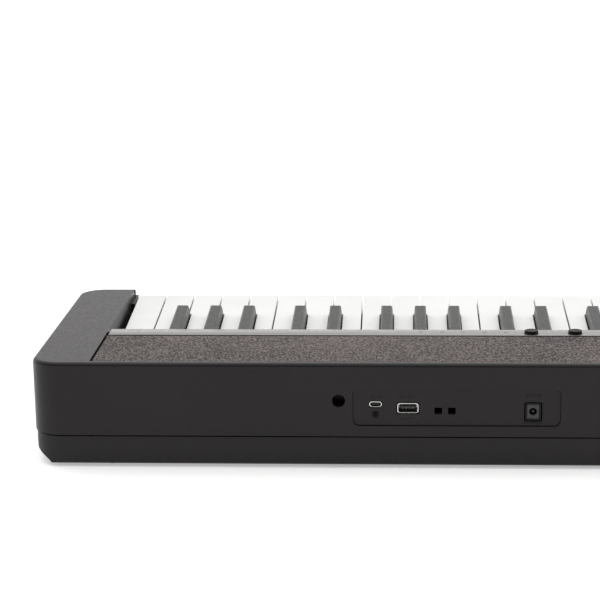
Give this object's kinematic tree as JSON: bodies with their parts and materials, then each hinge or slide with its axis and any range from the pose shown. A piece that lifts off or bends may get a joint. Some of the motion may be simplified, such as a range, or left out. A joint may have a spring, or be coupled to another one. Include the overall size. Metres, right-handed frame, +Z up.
{
  "type": "portable keyboard",
  "caption": "Slim portable keyboard: sloping black case with full-width cloth grille, control strip, white and black keys, rear terminals and rubber feet.",
  "frame": {"origin": "middle of the footprint, on the surface the feet stand on", "axes": "+X to the treble end, +Y to the rear with the terminals, +Z up; the player sits at -Y"},
  "size_m": [0.93, 0.256, 0.0802],
  "materials": {
    "white_key": "satin white moulded plastic",
    "black_key": "matt black moulded plastic with a fine grain",
    "case_plastic": "fine-grained black plastic",
    "lower_case_plastic": "fine-grained black plastic",
    "panel_plastic": "plain black plastic",
    "grille_cloth": "woven speckled grey-brown speaker cloth",
    "rubber": "matt black rubber",
    "frame_plastic": "grey moulded plastic",
    "circuit_board": "green solder resist",
    "port_metal": "bright plated steel",
    "socket_plastic": "black plastic",
    "speaker": "black paper cone and coated steel basket",
    "button_plastic": "black plastic"
  },
  "bodies": {
    "case": {"upper_case": "case_plastic", "lower_case": "lower_case_plastic", "grille_panel": "panel_plastic", "grille_cloth": "grille_cloth", "terminal_plate": "case_plastic", "battery_cover": "lower_case_plastic", "foot_front_left": "rubber", "foot_rear_left": "rubber", "foot_front_right": "rubber", "foot_rear_right": "rubber", "key_frame": "frame_plastic", "key_contact_board": "circuit_board", "contact_rubber": "rubber", "control_board": "circuit_board", "main_board": "circuit_board", "small_data_port": "port_metal", "large_data_port": "port_metal", "port_screw": "port_metal", "power_socket": "socket_plastic", "headphone_jack": "socket_plastic", "pedal_jack": "socket_plastic", "speaker_left": "speaker", "speaker_right": "speaker"},
    "white_keys_octave_2": {"white_keys_octave_2": "white_key"},
    "black_keys_octave_2": {"black_keys_octave_2": "black_key"},
    "white_keys_octave_3": {"white_keys_octave_3": "white_key"},
    "black_keys_octave_3": {"black_keys_octave_3": "black_key"},
    "white_keys_octave_4": {"white_keys_octave_4": "white_key"},
    "black_keys_octave_4": {"black_keys_octave_4": "black_key"},
    "white_key_c5": {"white_key_c5": "white_key"},
    "black_key_c5_sharp": {"black_key_c5_sharp": "black_key"},
    "white_key_d5": {"white_key_d5": "white_key"},
    "black_key_d5_sharp": {"black_key_d5_sharp": "black_key"},
    "white_key_e5": {"white_key_e5": "white_key"},
    "white_key_f5": {"white_key_f5": "white_key"},
    "black_key_f5_sharp": {"black_key_f5_sharp": "black_key"},
    "white_key_g5": {"white_key_g5": "white_key"},
    "black_key_g5_sharp": {"black_key_g5_sharp": "black_key"},
    "white_key_a5": {"white_key_a5": "white_key"},
    "black_key_a5_sharp": {"black_key_a5_sharp": "black_key"},
    "white_key_b5": {"white_key_b5": "white_key"},
    "white_key_c6": {"white_key_c6": "white_key"},
    "black_key_c6_sharp": {"black_key_c6_sharp": "black_key"},
    "white_key_d6": {"white_key_d6": "white_key"},
    "black_key_d6_sharp": {"black_key_d6_sharp": "black_key"},
    "white_key_e6": {"white_key_e6": "white_key"},
    "white_key_f6": {"white_key_f6": "white_key"},
    "black_key_f6_sharp": {"black_key_f6_sharp": "black_key"},
    "white_key_g6": {"white_key_g6": "white_key"},
    "black_key_g6_sharp": {"black_key_g6_sharp": "black_key"},
    "white_key_a6": {"white_key_a6": "white_key"},
    "black_key_a6_sharp": {"black_key_a6_sharp": "black_key"},
    "white_key_b6": {"white_key_b6": "white_key"},
    "white_key_c7": {"white_key_c7": "white_key"},
    "power_button": {"power_button": "button_plastic"},
    "push_button_1": {"push_button_1": "button_plastic"},
    "push_button_2": {"push_button_2": "button_plastic"},
    "push_button_3": {"push_button_3": "button_plastic"},
    "push_button_4": {"push_button_4": "button_plastic"},
    "volume_knob": {"volume_knob": "button_plastic"}
  },
  "joints": [
    {"name": "white_keys_octave_2_press", "type": "hinge", "parent": "case", "child": "white_keys_octave_2", "pos_m": [-0.3364, 0.048, 0.0462], "axis": [1, 0, 0], "range_deg": [0, 3.2], "stiffness_Nm_per_rad": 5, "springref_deg": -6.3},
    {"name": "black_keys_octave_2_press", "type": "hinge", "parent": "case", "child": "black_keys_octave_2", "pos_m": [-0.3359, 0.048, 0.0462], "axis": [1, 0, 0], "range_deg": [0, 3.2], "stiffness_Nm_per_rad": 3.5, "springref_deg": -6.3},
    {"name": "white_keys_octave_3_press", "type": "hinge", "parent": "case", "child": "white_keys_octave_3", "pos_m": [-0.174, 0.048, 0.0462], "axis": [1, 0, 0], "range_deg": [0, 3.2], "stiffness_Nm_per_rad": 5, "springref_deg": -6.3},
    {"name": "black_keys_octave_3_press", "type": "hinge", "parent": "case", "child": "black_keys_octave_3", "pos_m": [-0.1735, 0.048, 0.0462], "axis": [1, 0, 0], "range_deg": [0, 3.2], "stiffness_Nm_per_rad": 3.5, "springref_deg": -6.3},
    {"name": "white_keys_octave_4_press", "type": "hinge", "parent": "case", "child": "white_keys_octave_4", "pos_m": [-0.0116, 0.048, 0.0462], "axis": [1, 0, 0], "range_deg": [0, 3.2], "stiffness_Nm_per_rad": 5, "springref_deg": -6.3},
    {"name": "black_keys_octave_4_press", "type": "hinge", "parent": "case", "child": "black_keys_octave_4", "pos_m": [-0.0111, 0.048, 0.0462], "axis": [1, 0, 0], "range_deg": [0, 3.2], "stiffness_Nm_per_rad": 3.5, "springref_deg": -6.3},
    {"name": "white_key_c5_press", "type": "hinge", "parent": "case", "child": "white_key_c5", "pos_m": [0.0812, 0.048, 0.0462], "axis": [1, 0, 0], "range_deg": [0, 3.2], "stiffness_Nm_per_rad": 0.8, "springref_deg": -6.3},
    {"name": "black_key_c5_sharp_press", "type": "hinge", "parent": "case", "child": "black_key_c5_sharp", "pos_m": [0.09048, 0.048, 0.0462], "axis": [1, 0, 0], "range_deg": [0, 3.2], "stiffness_Nm_per_rad": 0.8, "springref_deg": -6.3},
    {"name": "white_key_d5_press", "type": "hinge", "parent": "case", "child": "white_key_d5", "pos_m": [0.1044, 0.048, 0.0462], "axis": [1, 0, 0], "range_deg": [0, 3.2], "stiffness_Nm_per_rad": 0.8, "springref_deg": -6.3},
    {"name": "black_key_d5_sharp_press", "type": "hinge", "parent": "case", "child": "black_key_d5_sharp", "pos_m": [0.11832, 0.048, 0.0462], "axis": [1, 0, 0], "range_deg": [0, 3.2], "stiffness_Nm_per_rad": 0.8, "springref_deg": -6.3},
    {"name": "white_key_e5_press", "type": "hinge", "parent": "case", "child": "white_key_e5", "pos_m": [0.1276, 0.048, 0.0462], "axis": [1, 0, 0], "range_deg": [0, 3.2], "stiffness_Nm_per_rad": 0.8, "springref_deg": -6.3},
    {"name": "white_key_f5_press", "type": "hinge", "parent": "case", "child": "white_key_f5", "pos_m": [0.1508, 0.048, 0.0462], "axis": [1, 0, 0], "range_deg": [0, 3.2], "stiffness_Nm_per_rad": 0.8, "springref_deg": -6.3},
    {"name": "black_key_f5_sharp_press", "type": "hinge", "parent": "case", "child": "black_key_f5_sharp", "pos_m": [0.15908, 0.048, 0.0462], "axis": [1, 0, 0], "range_deg": [0, 3.2], "stiffness_Nm_per_rad": 0.8, "springref_deg": -6.3},
    {"name": "white_key_g5_press", "type": "hinge", "parent": "case", "child": "white_key_g5", "pos_m": [0.174, 0.048, 0.0462], "axis": [1, 0, 0], "range_deg": [0, 3.2], "stiffness_Nm_per_rad": 0.8, "springref_deg": -6.3},
    {"name": "black_key_g5_sharp_press", "type": "hinge", "parent": "case", "child": "black_key_g5_sharp", "pos_m": [0.1856, 0.048, 0.0462], "axis": [1, 0, 0], "range_deg": [0, 3.2], "stiffness_Nm_per_rad": 0.8, "springref_deg": -6.3},
    {"name": "white_key_a5_press", "type": "hinge", "parent": "case", "child": "white_key_a5", "pos_m": [0.1972, 0.048, 0.0462], "axis": [1, 0, 0], "range_deg": [0, 3.2], "stiffness_Nm_per_rad": 0.8, "springref_deg": -6.3},
    {"name": "black_key_a5_sharp_press", "type": "hinge", "parent": "case", "child": "black_key_a5_sharp", "pos_m": [0.21212, 0.048, 0.0462], "axis": [1, 0, 0], "range_deg": [0, 3.2], "stiffness_Nm_per_rad": 0.8, "springref_deg": -6.3},
    {"name": "white_key_b5_press", "type": "hinge", "parent": "case", "child": "white_key_b5", "pos_m": [0.2204, 0.048, 0.0462], "axis": [1, 0, 0], "range_deg": [0, 3.2], "stiffness_Nm_per_rad": 0.8, "springref_deg": -6.3},
    {"name": "white_key_c6_press", "type": "hinge", "parent": "case", "child": "white_key_c6", "pos_m": [0.2436, 0.048, 0.0462], "axis": [1, 0, 0], "range_deg": [0, 3.2], "stiffness_Nm_per_rad": 0.8, "springref_deg": -6.3},
    {"name": "black_key_c6_sharp_press", "type": "hinge", "parent": "case", "child": "black_key_c6_sharp", "pos_m": [0.25288, 0.048, 0.0462], "axis": [1, 0, 0], "range_deg": [0, 3.2], "stiffness_Nm_per_rad": 0.8, "springref_deg": -6.3},
    {"name": "white_key_d6_press", "type": "hinge", "parent": "case", "child": "white_key_d6", "pos_m": [0.2668, 0.048, 0.0462], "axis": [1, 0, 0], "range_deg": [0, 3.2], "stiffness_Nm_per_rad": 0.8, "springref_deg": -6.3},
    {"name": "black_key_d6_sharp_press", "type": "hinge", "parent": "case", "child": "black_key_d6_sharp", "pos_m": [0.28072, 0.048, 0.0462], "axis": [1, 0, 0], "range_deg": [0, 3.2], "stiffness_Nm_per_rad": 0.8, "springref_deg": -6.3},
    {"name": "white_key_e6_press", "type": "hinge", "parent": "case", "child": "white_key_e6", "pos_m": [0.29, 0.048, 0.0462], "axis": [1, 0, 0], "range_deg": [0, 3.2], "stiffness_Nm_per_rad": 0.8, "springref_deg": -6.3},
    {"name": "white_key_f6_press", "type": "hinge", "parent": "case", "child": "white_key_f6", "pos_m": [0.3132, 0.048, 0.0462], "axis": [1, 0, 0], "range_deg": [0, 3.2], "stiffness_Nm_per_rad": 0.8, "springref_deg": -6.3},
    {"name": "black_key_f6_sharp_press", "type": "hinge", "parent": "case", "child": "black_key_f6_sharp", "pos_m": [0.32148, 0.048, 0.0462], "axis": [1, 0, 0], "range_deg": [0, 3.2], "stiffness_Nm_per_rad": 0.8, "springref_deg": -6.3},
    {"name": "white_key_g6_press", "type": "hinge", "parent": "case", "child": "white_key_g6", "pos_m": [0.3364, 0.048, 0.0462], "axis": [1, 0, 0], "range_deg": [0, 3.2], "stiffness_Nm_per_rad": 0.8, "springref_deg": -6.3},
    {"name": "black_key_g6_sharp_press", "type": "hinge", "parent": "case", "child": "black_key_g6_sharp", "pos_m": [0.348, 0.048, 0.0462], "axis": [1, 0, 0], "range_deg": [0, 3.2], "stiffness_Nm_per_rad": 0.8, "springref_deg": -6.3},
    {"name": "white_key_a6_press", "type": "hinge", "parent": "case", "child": "white_key_a6", "pos_m": [0.3596, 0.048, 0.0462], "axis": [1, 0, 0], "range_deg": [0, 3.2], "stiffness_Nm_per_rad": 0.8, "springref_deg": -6.3},
    {"name": "black_key_a6_sharp_press", "type": "hinge", "parent": "case", "child": "black_key_a6_sharp", "pos_m": [0.37452, 0.048, 0.0462], "axis": [1, 0, 0], "range_deg": [0, 3.2], "stiffness_Nm_per_rad": 0.8, "springref_deg": -6.3},
    {"name": "white_key_b6_press", "type": "hinge", "parent": "case", "child": "white_key_b6", "pos_m": [0.3828, 0.048, 0.0462], "axis": [1, 0, 0], "range_deg": [0, 3.2], "stiffness_Nm_per_rad": 0.8, "springref_deg": -6.3},
    {"name": "white_key_c7_press", "type": "hinge", "parent": "case", "child": "white_key_c7", "pos_m": [0.406, 0.048, 0.0462], "axis": [1, 0, 0], "range_deg": [0, 3.2], "stiffness_Nm_per_rad": 0.8, "springref_deg": -6.3},
    {"name": "power_button_press", "type": "slide", "parent": "case", "child": "power_button", "axis": [0, 0.081, -0.9967], "range_m": [0, 0.0012], "stiffness_N_per_m": 400, "springref_m": -0.002},
    {"name": "push_button_1_press", "type": "slide", "parent": "case", "child": "push_button_1", "axis": [0, 0.081, -0.9967], "range_m": [0, 0.0012], "stiffness_N_per_m": 400, "springref_m": -0.002},
    {"name": "push_button_2_press", "type": "slide", "parent": "case", "child": "push_button_2", "axis": [0, 0.081, -0.9967], "range_m": [0, 0.0012], "stiffness_N_per_m": 400, "springref_m": -0.002},
    {"name": "push_button_3_press", "type": "slide", "parent": "case", "child": "push_button_3", "axis": [0, 0.081, -0.9967], "range_m": [0, 0.0012], "stiffness_N_per_m": 400, "springref_m": -0.002},
    {"name": "push_button_4_press", "type": "slide", "parent": "case", "child": "push_button_4", "axis": [0, 0.081, -0.9967], "range_m": [0, 0.0012], "stiffness_N_per_m": 400, "springref_m": -0.002},
    {"name": "volume_knob_turn", "type": "hinge", "parent": "case", "child": "volume_knob", "pos_m": [-0.345, 0.03296, 0.07128], "axis": [0, -0.081, 0.9967], "range_deg": [-140, 140]}
  ]
}
